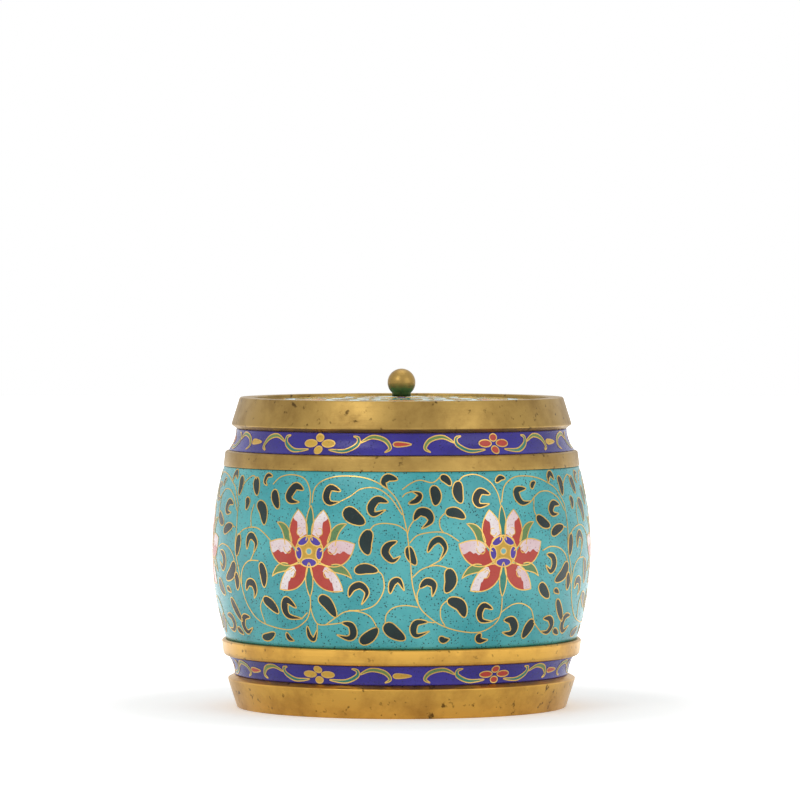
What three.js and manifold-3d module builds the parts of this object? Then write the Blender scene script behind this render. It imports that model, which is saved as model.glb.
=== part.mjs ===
// Cloisonne jar with a lift-off lid. Millimetres, +Z up, the resting plane is z = 0, the front is -Y.
import * as THREE from "three";
import { mergeVertices } from "three/addons/utils/BufferGeometryUtils.js";
import Module from "manifold-3d";

const wasm = await Module();
wasm.setup();

// Heights of the zones, from the foot up
const FOOT_HEIGHT = 10.8;
const LOWER_BAND_HEIGHT = 6.1;
const LOWER_RING_HEIGHT = 5.5;
const BELLY_HEIGHT = 56.8;
const SHOULDER_RING_HEIGHT = 5.1;
const NECK_BAND_HEIGHT = 7.0;
const RIM_HEIGHT = 10.2;

// Outer forms
const BELLY_RADIUS = 62.5;
const BELLY_CURVE = 99.6; // radius of the belly's upright arc
const BELLY_MIDDLE_SHARE = 0.5175; // height of the widest line, as a share of the belly's height
const LOWER_WAIST_INSET = 3.06; // the lower band's waist, in from the belly's foot line
const LOWER_BAND_CURVE = 10.1;
const NECK_WAIST_INSET = 4.2; // the neck band's waist, in from the belly's top line
const NECK_BAND_CURVE = 10.94;

// Thicknesses and clearances
const WALL = 1.2;
const BELLY_ENAMEL = 1.1;
const BAND_ENAMEL = 0.9;
const SEAM = 0.1; // between pieces that are stacked or nested
const INLAY_GAP = 0.3; // round each flower in its pocket

// Foot
const SOLE_INSET = 0.7; // the sole's outer edge, in from the lower waist
const FOOT_FLARE = 2.4; // the foot's widest line, out from the lower waist
const SOLE_WIDTH = 2.5;
const FOOT_LEDGE = 1.2; // height of the bevel on top of the foot
const FOOT_RECESS = 5.0;
const BASE_PLATE_THICKNESS = 1.4;
const FLANGE_THICKNESS = 1.7;
const FLANGE_REACH = 2.3;
const FLOOR_THICKNESS = 1.2;

// Gilt rings
const LOWER_RING_PROUD = 1.3;
const LOWER_RING_LEAN = 0.5;
const SHOULDER_RING_PROUD = 0.1;
const SHOULDER_RING_LEAN = 0.55;
const RING_EDGE = 0.5; // bevel at a ring's edges

// Mouth
const RIM_FLARE = 1.75; // the rim's widest line, out from the neck waist
const RIM_FLARE_HEIGHT = 1.3;
const RIM_TOP_INSET = 1.05;
const SHELL_TONGUE = 3.1; // how far the shell stands up inside the rim
const SEAT_INSET = 5.85; // the lid's seat, in from the neck waist
const SEAT_DEPTH = 3.4;
const LIP_WIDTH = 2.8;
const LIP_THICKNESS = 1.5;
const THROAT_SLOPE = 2.2;

// Lid
const LID_PLAY = 0.3; // round the lid in its seat and in the lip
const LID_EDGE_WIDTH = 1.4;
const LID_EDGE_THICKNESS = 2.1;
const LID_DOME_RISE = 1.4;
const LID_ENAMEL = 0.8;
const LID_FLANGE_WALL = 1.0;
const LID_FLANGE_DEPTH = 3.4;
const KNOB_RADIUS = 4.6;
const KNOB_COLLAR_RADIUS = 3.1;
const KNOB_COLLAR_HEIGHT = 1.1;
const PIN_RADIUS = 1.5;
const PIN_GRIP = 4.5; // how far the pin reaches up into the knob
const PIN_HEAD_RADIUS = 2.6;
const PIN_HEAD_HEIGHT = 0.8;
const WASHER_RADIUS = 5.0;
const WASHER_THICKNESS = 0.9;

// Lotus flowers round the belly
const BLOOM_COUNT = 6;
const BLOOM_TURN = 31.6; // degrees from the front to the flower on its right
const BLOOM_CENTRE = 31.3; // flower centre above the belly's foot line
const HEART_RADIUS = 8.2; // the cells have no ground between them inside this circle
const CURVE_STEPS = 4;

const TURN_SEGMENTS = 40;
const SMALL_SEGMENTS = 24;

// Heights of the joints between the zones
const lowerBandZ = FOOT_HEIGHT + SEAM;
const lowerRingZ = lowerBandZ + LOWER_BAND_HEIGHT + SEAM;
const bellyZ = lowerRingZ + LOWER_RING_HEIGHT + SEAM;
const shoulderZ = bellyZ + BELLY_HEIGHT + SEAM;
const neckZ = shoulderZ + SHOULDER_RING_HEIGHT + SEAM;
const rimZ = neckZ + NECK_BAND_HEIGHT + SEAM;
const rimTopZ = rimZ + RIM_HEIGHT;
const bellyMiddleZ = bellyZ + BELLY_HEIGHT * BELLY_MIDDLE_SHARE;
const flangeZ = FOOT_RECESS + BASE_PLATE_THICKNESS + SEAM;
const shellZ = flangeZ + FLANGE_THICKNESS + SEAM;
const shellTopZ = rimZ + SHELL_TONGUE - SEAM;

// Outer surface of the enamel, as a radius at a height
const arcSag = (curve, rise) => curve - Math.sqrt(curve ** 2 - rise ** 2);
const bellyAt = (z) => BELLY_RADIUS - arcSag(BELLY_CURVE, z - bellyMiddleZ);
const lowerWaist = bellyAt(bellyZ) - LOWER_WAIST_INSET;
const neckWaist = bellyAt(bellyZ + BELLY_HEIGHT) - NECK_WAIST_INSET;
const seatRadius = neckWaist - SEAT_INSET;
const lipRadius = seatRadius - LIP_WIDTH;
const lowerBandAt = (z) => lowerWaist + arcSag(LOWER_BAND_CURVE, z - lowerBandZ);
const neckAt = (z) => neckWaist + arcSag(NECK_BAND_CURVE, neckZ + NECK_BAND_HEIGHT - z);

// Points [radius, z] up a surface, moved in by a depth
function climb(surface, low, high, steps, depth = 0) {
  return Array.from({ length: steps + 1 }, (_, i) => {
    const z = low + ((high - low) * i) / steps;
    return [surface(z) - depth, z];
  });
}

const BAND_STEPS = 4;
const BELLY_STEPS = 6;
const bandDepth = BAND_ENAMEL + SEAM;
const bellyDepth = BELLY_ENAMEL + SEAM;
const lowerBandTopZ = lowerBandZ + LOWER_BAND_HEIGHT;
const bellyTopZ = bellyZ + BELLY_HEIGHT;
const neckTopZ = neckZ + NECK_BAND_HEIGHT;

// Outside of the copper shell that carries all the enamel
const shellOutside = [
  [lowerWaist - bandDepth, shellZ],
  ...climb(lowerBandAt, lowerBandZ, lowerBandTopZ, BAND_STEPS, bandDepth),
  ...climb(bellyAt, bellyZ, bellyTopZ, BELLY_STEPS, bellyDepth),
  ...climb(neckAt, neckZ, neckTopZ, BAND_STEPS, bandDepth),
  [neckWaist - bandDepth, shellTopZ],
];
const shellInside = shellOutside.map(([r, z]) => [r - WALL, z]);

// A profile goes outwards at the bottom, up the outside, and back down the inside or the axis.
function revolve(profile, segments = TURN_SEGMENTS) {
  const outline = profile.map(([r, z]) => new THREE.Vector2(r, z));
  return new THREE.LatheGeometry(outline, segments).rotateX(Math.PI / 2);
}

const ring = (profile, segments) => revolve([...profile, profile[0]], segments);

function footRing() {
  const inner = lowerWaist - bandDepth + SEAM;
  const sole = lowerWaist - SOLE_INSET;
  const bore = sole - SOLE_WIDTH;
  const widest = lowerWaist + FOOT_FLARE;
  return ring([
    [bore, 0],
    [sole - RING_EDGE, 0],
    [sole + RING_EDGE / 4, RING_EDGE],
    [widest, FOOT_HEIGHT - FOOT_LEDGE],
    [widest - RING_EDGE, FOOT_HEIGHT - FOOT_LEDGE / 2],
    [lowerWaist + SEAM, FOOT_HEIGHT],
    [inner, FOOT_HEIGHT],
    [inner, shellZ - SEAM],
    [bore - FLANGE_REACH, shellZ - SEAM],
    [bore - FLANGE_REACH, flangeZ],
    [bore, flangeZ],
  ]);
}

function basePlate() {
  const r = lowerWaist - SOLE_INSET - SOLE_WIDTH - 2 * SEAM;
  return revolve([[0, FOOT_RECESS], [r, FOOT_RECESS], [r, flangeZ - SEAM], [0, flangeZ - SEAM]]);
}

function floorPlate() {
  const r = lowerWaist - bandDepth - WALL - SEAM;
  return revolve([[0, shellZ], [r, shellZ], [r, shellZ + FLOOR_THICKNESS], [0, shellZ + FLOOR_THICKNESS]]);
}

const bodyShell = () => ring([...shellOutside, ...shellInside.reverse()]);

// A layer of enamel of an even thickness on a surface
function enamelSleeve(surface, low, high, steps, thickness) {
  const outside = climb(surface, low, high, steps);
  const inside = climb(surface, low, high, steps, thickness).reverse();
  return ring([...outside, ...inside]);
}

function lowerRing() {
  const low = lowerBandAt(lowerBandTopZ) - bandDepth + SEAM;
  const high = bellyAt(bellyZ) - bellyDepth + SEAM;
  const widest = bellyAt(bellyZ) + LOWER_RING_PROUD;
  const top = lowerRingZ + LOWER_RING_HEIGHT;
  return ring([
    [low + RING_EDGE / 4, lowerRingZ],
    [widest - LOWER_RING_LEAN - 3 * RING_EDGE, lowerRingZ],
    [widest - LOWER_RING_LEAN - RING_EDGE, lowerRingZ + RING_EDGE / 2],
    [widest - LOWER_RING_LEAN, lowerRingZ + 2 * RING_EDGE],
    [widest, top - RING_EDGE],
    [widest - RING_EDGE, top],
    [high + RING_EDGE / 4, top],
  ]);
}

function shoulderRing() {
  const low = bellyAt(bellyTopZ) - bellyDepth + SEAM;
  const high = neckAt(neckZ) - bandDepth + SEAM;
  const widest = bellyAt(bellyTopZ) + SHOULDER_RING_PROUD;
  const top = shoulderZ + SHOULDER_RING_HEIGHT;
  return ring([
    [low + RING_EDGE / 4, shoulderZ],
    [widest - RING_EDGE / 4, shoulderZ],
    [widest, shoulderZ + RING_EDGE / 2],
    [widest - SHOULDER_RING_LEAN, top - RING_EDGE],
    [widest - SHOULDER_RING_LEAN - 1.5 * RING_EDGE, top],
    [high + RING_EDGE / 2, top],
  ]);
}

function mouthRim() {
  const socket = neckWaist - bandDepth + SEAM;
  const throat = neckWaist - bandDepth - WALL - RING_EDGE / 2;
  const seatZ = rimTopZ - SEAT_DEPTH;
  const topRadius = neckWaist - RIM_TOP_INSET;
  return ring([
    [socket, rimZ],
    [neckWaist, rimZ],
    [neckWaist + RIM_FLARE, rimZ + RIM_FLARE_HEIGHT],
    [topRadius + RING_EDGE / 5, rimTopZ - RING_EDGE],
    [topRadius - RING_EDGE / 2, rimTopZ],
    [seatRadius, rimTopZ],
    [seatRadius, seatZ],
    [lipRadius, seatZ],
    [lipRadius, seatZ - LIP_THICKNESS],
    [throat, seatZ - LIP_THICKNESS - THROAT_SLOPE],
    [socket, shellTopZ + SEAM],
  ]);
}

// Heights and radii that the lid's pieces share
const lidZ = rimTopZ - SEAT_DEPTH + SEAM;
const lidRadius = seatRadius - LID_PLAY;
const lidPlateRadius = lidRadius - LID_EDGE_WIDTH - SEAM;
const lidEdgeZ = lidZ + LID_EDGE_THICKNESS;
const lidTopZ = lidEdgeZ + LID_DOME_RISE;
const lidFlangeRadius = lipRadius - LID_PLAY;
const plateThickness = LID_EDGE_THICKNESS - LID_ENAMEL - SEAM;
const pinHoleRadius = PIN_RADIUS + SEAM;
const washerTopZ = lidTopZ - LID_ENAMEL - SEAM - plateThickness - SEAM;
const DOME_STEPS = 5;

// Points [radius, z] over the lid from its bore to its edge, moved down by a depth
function dome(radius, depth) {
  return Array.from({ length: DOME_STEPS + 1 }, (_, i) => {
    const r = pinHoleRadius + ((radius - pinHoleRadius) * i) / DOME_STEPS;
    return [r, lidTopZ - depth - LID_DOME_RISE * (r / lidPlateRadius) ** 2];
  });
}

function lidPlate() {
  const under = LID_ENAMEL + SEAM;
  return ring([...dome(lidPlateRadius, under + plateThickness), ...dome(lidPlateRadius, under).reverse()]);
}

const lidEnamel = () => ring([...dome(lidPlateRadius, LID_ENAMEL), ...dome(lidPlateRadius, 0).reverse()]);

function lidEdgeRing() {
  const inner = lidRadius - LID_EDGE_WIDTH;
  return ring([
    [inner, lidZ],
    [lidRadius, lidZ],
    [lidRadius, lidEdgeZ - RING_EDGE / 2],
    [lidRadius - RING_EDGE / 2, lidEdgeZ],
    [inner, lidEdgeZ],
  ]);
}

function lidFlange() {
  const inner = lidFlangeRadius - LID_FLANGE_WALL;
  const top = lidZ - SEAM;
  return ring([
    [inner, top - LID_FLANGE_DEPTH],
    [lidFlangeRadius, top - LID_FLANGE_DEPTH],
    [lidFlangeRadius, top],
    [inner, top],
  ]);
}

// A ball on a short collar, with a blind hole for the pin
function knob() {
  const baseZ = lidTopZ + SEAM;
  const drop = Math.sqrt(KNOB_RADIUS ** 2 - KNOB_COLLAR_RADIUS ** 2);
  const centreZ = baseZ + KNOB_COLLAR_HEIGHT + drop;
  const start = -Math.acos(KNOB_COLLAR_RADIUS / KNOB_RADIUS);
  const steps = 9;
  const ball = Array.from({ length: steps }, (_, i) => {
    const a = start + ((Math.PI / 2 - start) * i) / steps;
    return [KNOB_RADIUS * Math.cos(a), centreZ + KNOB_RADIUS * Math.sin(a)];
  });
  const holeTopZ = baseZ + PIN_GRIP + SEAM;
  return revolve([
    [0, holeTopZ],
    [pinHoleRadius, holeTopZ],
    [pinHoleRadius, baseZ],
    [KNOB_COLLAR_RADIUS, baseZ],
    ...ball,
    [0, centreZ + KNOB_RADIUS],
  ], SMALL_SEGMENTS);
}

function knobPin() {
  const headTopZ = washerTopZ - WASHER_THICKNESS - SEAM;
  const tipZ = lidTopZ + SEAM + PIN_GRIP;
  return revolve([
    [0, headTopZ - PIN_HEAD_HEIGHT],
    [PIN_HEAD_RADIUS, headTopZ - PIN_HEAD_HEIGHT],
    [PIN_HEAD_RADIUS, headTopZ],
    [PIN_RADIUS, headTopZ],
    [PIN_RADIUS, tipZ],
    [0, tipZ],
  ], SMALL_SEGMENTS);
}

function knobWasher() {
  const low = washerTopZ - WASHER_THICKNESS;
  return ring([
    [pinHoleRadius, low],
    [WASHER_RADIUS, low],
    [WASHER_RADIUS, washerTopZ],
    [pinHoleRadius, washerTopZ],
  ], SMALL_SEGMENTS);
}

// Each curved cell of the lotus has a root, two bends to its tip, two bends back and an end.
const LOTUS_CELLS = {
  upperPetal: [[4, 0], [8.5, 2.5], [9, 9], [4.7, 13.3], [2, 11], [-0.2, 8.5], [1.2, 3.5]],
  sidePetal: [[3.2, -3], [9, -6.8], [14.5, -4.5], [15.8, 2.6], [12, 4], [8, 4.6], [6.3, 1.2]],
  lowerPetal: [[0.5, -5], [1, -10.5], [5.5, -14], [11.7, -12.5], [11, -8.5], [8, -4], [3, -4]],
  upperLeaf: [[9.2, 1.9], [9.8, 5], [10.5, 7], [13, 9], [9.5, 9.5], [7.5, 7.5], [6.5, 3]],
  lowerLeaf: [[6.5, -5.6], [9.5, -7.2], [12.5, -6.5], [14.8, -8.6], [13.5, -5], [11, -3.2], [8, -4.2]],
};
const SPINDLE = { rootY: 3.5, tipY: 14.6, halfWidth: 1.35 };

function lotusOutlines() {
  const outlines = [];
  for (const [root, a, b, tip, c, d, end] of Object.values(LOTUS_CELLS)) {
    for (const side of [1, -1]) {
      const shape = new THREE.Shape();
      shape.moveTo(side * root[0], root[1]);
      shape.bezierCurveTo(side * a[0], a[1], side * b[0], b[1], side * tip[0], tip[1]);
      shape.bezierCurveTo(side * c[0], c[1], side * d[0], d[1], side * end[0], end[1]);
      outlines.push(shape.getPoints(CURVE_STEPS));
    }
  }
  for (const way of [1, -1]) {
    const middle = (way * (SPINDLE.rootY + SPINDLE.tipY)) / 2;
    const spindle = new THREE.Shape();
    spindle.moveTo(0, way * SPINDLE.rootY);
    spindle.quadraticCurveTo(2 * SPINDLE.halfWidth, middle, 0, way * SPINDLE.tipY);
    spindle.quadraticCurveTo(-2 * SPINDLE.halfWidth, middle, 0, way * SPINDLE.rootY);
    outlines.push(spindle.getPoints(CURVE_STEPS).slice(0, -1));
  }
  const heart = new THREE.Shape().absarc(0, 0, HEART_RADIUS, 0, 2 * Math.PI);
  outlines.push(heart.getPoints(CURVE_STEPS * 4).slice(0, -1));
  return outlines.map((points) => (THREE.ShapeUtils.isClockWise(points) ? points.reverse() : points));
}

// Moves each corner of an outline out by a distance, with mitres held to twice that distance.
function grow(points, distance) {
  return points.map((point, i) => {
    const before = points[(i + points.length - 1) % points.length];
    const after = points[(i + 1) % points.length];
    const inward = point.clone().sub(before).normalize();
    const outward = after.clone().sub(point).normalize();
    const normal = new THREE.Vector2(inward.y + outward.y, -inward.x - outward.x).normalize();
    const mitre = Math.max(0.5, normal.x * inward.y - normal.y * inward.x);
    return point.clone().addScaledVector(normal, distance / mitre);
  });
}

const positionOnly = (geometry) => {
  const flat = geometry.index ? geometry.toNonIndexed() : geometry;
  return new THREE.BufferGeometry().setAttribute("position", flat.getAttribute("position"));
};

function solidOf(geometry) {
  const merged = mergeVertices(positionOnly(geometry), 1e-4);
  return new wasm.Manifold(
    new wasm.Mesh({
      numProp: 3,
      vertProperties: merged.attributes.position.array,
      triVerts: new Uint32Array(merged.index.array),
    }),
  );
}

function geometryOf(solid) {
  const mesh = solid.getMesh();
  const indexed = new THREE.BufferGeometry()
    .setAttribute("position", new THREE.BufferAttribute(mesh.vertProperties, 3))
    .setIndex(new THREE.BufferAttribute(mesh.triVerts, 1));
  const geometry = indexed.toNonIndexed();
  geometry.computeVertexNormals();
  return geometry;
}

// The lotus as a stamp that reaches through the enamel at one turn round the belly
function lotusStamp(turn, margin) {
  const start = bellyAt(bellyZ) - 2 * bellyDepth;
  const depth = BELLY_RADIUS - start + bellyDepth;
  return lotusOutlines()
    .map((points) => {
      const shape = new THREE.Shape(margin ? grow(points, margin) : points);
      const prism = new THREE.ExtrudeGeometry(shape, { depth, bevelEnabled: false });
      prism.translate(0, 0, start).rotateX(Math.PI / 2);
      return solidOf(prism.translate(0, 0, bellyZ + BLOOM_CENTRE).rotateZ(turn));
    })
    .reduce((sum, cell) => sum.add(cell));
}

const COLOURS = {
  copper: { color: 0xb5652f, roughness: 0.4, metalness: 1 },
  gilt: { color: 0xcd9b3c, roughness: 0.35, metalness: 1 },
  agedGilt: { color: 0x967332, roughness: 0.45, metalness: 1 },
  turquoise: { color: 0x58c4c8, roughness: 0.35, metalness: 0 },
  cobalt: { color: 0x3c2db4, roughness: 0.35, metalness: 0 },
  lotus: { color: 0xc84b3c, roughness: 0.35, metalness: 0 },
};

const jar = new THREE.Group();
jar.name = "jar";
const lid = new THREE.Group();
lid.name = "lid";

function addPiece(group, name, geometry, look) {
  const mesh = new THREE.Mesh(geometry, new THREE.MeshStandardMaterial(COLOURS[look]));
  mesh.name = name;
  group.add(mesh);
}

addPiece(jar, "foot_ring", footRing(), "gilt");
addPiece(jar, "base_plate", basePlate(), "gilt");
addPiece(jar, "floor_plate", floorPlate(), "copper");
addPiece(jar, "body_shell", bodyShell(), "copper");
addPiece(jar, "lower_band_enamel",
  enamelSleeve(lowerBandAt, lowerBandZ, lowerBandTopZ, BAND_STEPS, BAND_ENAMEL), "cobalt");
addPiece(jar, "lower_ring", lowerRing(), "gilt");
addPiece(jar, "shoulder_ring", shoulderRing(), "agedGilt");
addPiece(jar, "neck_band_enamel",
  enamelSleeve(neckAt, neckZ, neckTopZ, BAND_STEPS, BAND_ENAMEL), "cobalt");
addPiece(jar, "mouth_rim", mouthRim(), "agedGilt");

// Each lotus fills a pocket of its own outline in the belly's enamel.
const bellySleeve = solidOf(enamelSleeve(bellyAt, bellyZ, bellyTopZ, BELLY_STEPS, BELLY_ENAMEL));
let bellyGround = bellySleeve;
for (let i = 0; i < BLOOM_COUNT; i++) {
  const turn = THREE.MathUtils.degToRad(BLOOM_TURN) + (2 * Math.PI * i) / BLOOM_COUNT;
  bellyGround = bellyGround.subtract(lotusStamp(turn, INLAY_GAP));
  addPiece(jar, `lotus_bloom_${i + 1}`, geometryOf(bellySleeve.intersect(lotusStamp(turn, 0))), "lotus");
}
addPiece(jar, "body_enamel", geometryOf(bellyGround), "turquoise");

addPiece(lid, "lid_plate", lidPlate(), "copper");
addPiece(lid, "lid_edge_ring", lidEdgeRing(), "agedGilt");
addPiece(lid, "lid_enamel", lidEnamel(), "turquoise");
addPiece(lid, "lid_flange", lidFlange(), "gilt");
addPiece(lid, "knob", knob(), "agedGilt");
addPiece(lid, "knob_pin", knobPin(), "gilt");
addPiece(lid, "knob_washer", knobWasher(), "gilt");

const cloisonneJar = new THREE.Group();
cloisonneJar.name = "cloisonne_jar";
cloisonneJar.add(jar, lid);

export default cloisonneJar;
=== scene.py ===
"""Dresses the cloisonne lidded jar. Metres, +Z up, the front is -Y. Pattern drawings are in millimetres."""

import math

import bmesh
import bpy
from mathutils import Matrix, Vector


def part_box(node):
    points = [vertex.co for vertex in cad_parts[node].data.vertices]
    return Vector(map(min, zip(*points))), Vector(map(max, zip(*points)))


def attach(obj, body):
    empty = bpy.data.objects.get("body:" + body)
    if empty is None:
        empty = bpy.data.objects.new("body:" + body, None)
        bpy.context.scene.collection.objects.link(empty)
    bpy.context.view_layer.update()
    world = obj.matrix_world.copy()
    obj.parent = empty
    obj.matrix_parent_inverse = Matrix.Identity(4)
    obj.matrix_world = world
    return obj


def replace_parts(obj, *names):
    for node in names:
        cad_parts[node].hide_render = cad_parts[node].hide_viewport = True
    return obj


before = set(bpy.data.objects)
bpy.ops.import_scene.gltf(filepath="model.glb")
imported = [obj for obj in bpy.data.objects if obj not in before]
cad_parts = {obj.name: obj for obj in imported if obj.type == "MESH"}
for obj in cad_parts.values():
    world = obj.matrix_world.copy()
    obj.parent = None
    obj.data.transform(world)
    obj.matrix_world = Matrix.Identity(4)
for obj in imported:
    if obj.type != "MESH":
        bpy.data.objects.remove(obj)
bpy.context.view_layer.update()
MM = 0.001

# Revolved surfaces
TURNS = 256
ROUND_STEPS = 3
EDGE_ROUND = 0.35

# Enamel surfaces, in millimetres, as the record's solids have them
BELLY_CURVE = 99.6
BAND_CURVE_LOW = 10.1
BAND_CURVE_NECK = 10.94
LOWER_WAIST = 55.0
NECK_WAIST = 54.45
BELLY_MIDDLE_SHARE = 0.5175

# Wirework and cells
ARC = 60.0  # millimetres of drawing for one radian round the axis
WIRE_WIDTH = 0.34
WIRE_PROUD = 0.10
CELL_PROUD = 0.045
UPPER_CELL_PROUD = 0.065
CELL_DEPTH = 0.25
REPEATS = 3

# Flowers
BLOOM_TURNS = (-28.4, 31.6)
BLOOM_HEIGHT = 54.0


def node_heights(name):
    """Lowest and highest point of a solid, in millimetres."""
    low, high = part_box(name)
    return low[2] / MM, high[2] / MM


def node_radius(name):
    low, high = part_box(name)
    return max(high[0] - low[0], high[1] - low[1]) / 2 / MM


FOOT = node_heights("foot_ring")
LOWER_BAND = node_heights("lower_band_enamel")
LOWER_RING = node_heights("lower_ring")
BELLY = node_heights("body_enamel")
SHOULDER = node_heights("shoulder_ring")
NECK_BAND = node_heights("neck_band_enamel")
RIM = node_heights("mouth_rim")
LID_EDGE = node_heights("lid_edge_ring")
LID_TOP = node_heights("lid_enamel")[1]
KNOB = node_heights("knob")
# The wires stand proud, and their tops keep to the solid's widest line.
BELLY_RADIUS = node_radius("body_enamel") - WIRE_PROUD
BLOOM_STRETCH = ARC / BELLY_RADIUS
BELLY_MIDDLE = BELLY[0] + (BELLY[1] - BELLY[0]) * BELLY_MIDDLE_SHARE


# Surfaces of revolution

def sag(curve, rise):
    return curve - math.sqrt(curve**2 - rise**2)


def belly_at(z):
    return BELLY_RADIUS - sag(BELLY_CURVE, z - BELLY_MIDDLE)


def lower_band_at(z):
    return LOWER_WAIST + sag(BAND_CURVE_LOW, z - LOWER_BAND[0])


def neck_at(z):
    return NECK_WAIST + sag(BAND_CURVE_NECK, NECK_BAND[1] - z)


def climb(surface, span, steps, depth=0.0):
    low, high = span
    heights = [low + (high - low) * i / steps for i in range(steps + 1)]
    return [(surface(z) - depth, z) for z in heights]


def soften(profile, radius=EDGE_ROUND):
    """Rounds each corner of a closed profile."""
    out = []
    count = len(profile)
    for i, corner in enumerate(profile):
        here = Vector(corner)
        before = Vector(profile[i - 1]) - here
        after = Vector(profile[(i + 1) % count]) - here
        reach = min(radius, before.length * 0.45, after.length * 0.45)
        start = here + before.normalized() * reach
        end = here + after.normalized() * reach
        for k in range(ROUND_STEPS + 1):
            t = k / ROUND_STEPS
            point = start * (1 - t) ** 2 + here * 2 * t * (1 - t) + end * t**2
            out.append((point.x, point.y))
    return out


def mesh_object(name, vertices, faces, smooth=True):
    mesh = bpy.data.meshes.new(name)
    mesh.from_pydata(vertices, [], faces)
    shape = bmesh.new()
    shape.from_mesh(mesh)
    bmesh.ops.recalc_face_normals(shape, faces=shape.faces)
    shape.to_mesh(mesh)
    shape.free()
    mesh.polygons.foreach_set("use_smooth", [smooth] * len(mesh.polygons))
    mesh.update()
    thing = bpy.data.objects.new(name, mesh)
    bpy.context.scene.collection.objects.link(thing)
    return thing


def revolve(name, profile, turns=TURNS):
    """A closed ring of revolution from a closed profile of (radius, height) in millimetres."""
    count = len(profile)
    vertices, faces = [], []
    for i in range(turns):
        a = 2 * math.pi * i / turns
        vertices += [(r * math.sin(a) * MM, -r * math.cos(a) * MM, z * MM) for r, z in profile]
    for i in range(turns):
        here, there = i * count, (i + 1) % turns * count
        for k in range(count):
            n = (k + 1) % count
            faces.append((here + k, there + k, there + n, here + n))
    return mesh_object(name, vertices, faces)


# Shading, with noise scales in cells per metre and reliefs in metres

PIT_LAYERS = ((950.0, 0.25, 0.36), (1900.0, 0.27, 0.50))  # scale, pit size, noise threshold
PIT_RELIEF = 0.0003
CLOUD_SCALE = 55.0
PATCH_SCALE = 70.0
GRIME_SCALE = 420.0
GRIME_COLOUR = (60, 42, 22)
SCRATCH_STRETCH = (40.0, 40.0, 2600.0)
WEAR_RELIEF = 0.0004
ENAMEL_SPECULAR = 0.35


def linear(red, green, blue):
    """A colour of 0 to 255 as the eye sees it, made linear."""
    def one(value):
        value /= 255
        return value / 12.92 if value <= 0.04045 else ((value + 0.055) / 1.055) ** 2.4
    return (one(red), one(green), one(blue), 1.0)


class Graph:
    """Short calls for adding and joining nodes of one tree."""

    def __init__(self, tree):
        self.tree = tree

    def node(self, kind, inputs=None, **settings):
        made = self.tree.nodes.new(kind)
        for key, value in settings.items():
            setattr(made, key, value)
        for key, value in (inputs or {}).items():
            if isinstance(value, bpy.types.NodeSocket):
                self.tree.links.new(value, made.inputs[key])
            else:
                made.inputs[key].default_value = value
        return made

    def math(self, operation, first, second=0.0):
        return self.node("ShaderNodeMath", {0: first, 1: second}, operation=operation).outputs[0]

    def ramp(self, value, low, high, start=0.0, end=1.0):
        made = self.node("ShaderNodeMapRange", {0: value, 1: low, 2: high, 3: start, 4: end})
        return made.outputs[0]

    def mix(self, factor, first, second):
        made = self.node("ShaderNodeMix", data_type="RGBA")
        for index, value in ((0, factor), (6, first), (7, second)):
            if isinstance(value, bpy.types.NodeSocket):
                self.tree.links.new(value, made.inputs[index])
            else:
                made.inputs[index].default_value = value
        return made.outputs[2]


def effect_group(name, inputs, outputs):
    tree = bpy.data.node_groups.new(name, "ShaderNodeTree")
    for label, value in inputs.items():
        socket = tree.interface.new_socket(label, in_out="INPUT", socket_type="NodeSocketFloat")
        socket.default_value = value
    for label, kind in outputs.items():
        tree.interface.new_socket(label, in_out="OUTPUT", socket_type=kind)
    graph = Graph(tree)
    source = graph.node("NodeGroupInput")
    coords = graph.node("ShaderNodeTexCoord").outputs["Object"]
    return tree, graph, source, coords


def pit_group():
    """Pinholes in fired enamel, and slow changes of tone."""
    tree, graph, source, coords = effect_group(
        "EnamelPits", {"Density": 0.5, "Depth": 0.3},
        {"Pits": "NodeSocketFloat", "Cloud": "NodeSocketFloat", "Normal": "NodeSocketVector"})
    masks = []
    for scale, size, low in PIT_LAYERS:
        spots = graph.node("ShaderNodeTexVoronoi", {"Vector": coords, "Scale": scale}).outputs["Distance"]
        choice = graph.node("ShaderNodeTexNoise", {"Vector": coords, "Scale": scale * 0.45, "Detail": 1.0})
        dot = graph.ramp(spots, size * 0.6, size, 1.0, 0.0)
        keep = graph.ramp(choice.outputs[0], low, low + 0.05)
        masks.append(graph.math("MULTIPLY", dot, keep))
    pits = graph.math("MULTIPLY", graph.math("MAXIMUM", *masks), source.outputs["Density"])
    clouds = {"Vector": coords, "Scale": CLOUD_SCALE, "Detail": 5.0}
    cloud = graph.node("ShaderNodeTexNoise", clouds).outputs[0]
    height = graph.math("SUBTRACT", graph.math("MULTIPLY", cloud, 0.4), pits)
    bump = graph.node("ShaderNodeBump", {"Height": height, "Strength": source.outputs["Depth"],
                                         "Distance": PIT_RELIEF})
    graph.node("NodeGroupOutput", {"Pits": pits, "Cloud": graph.ramp(cloud, 0.35, 0.65),
                                   "Normal": bump.outputs[0]})
    return tree


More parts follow.
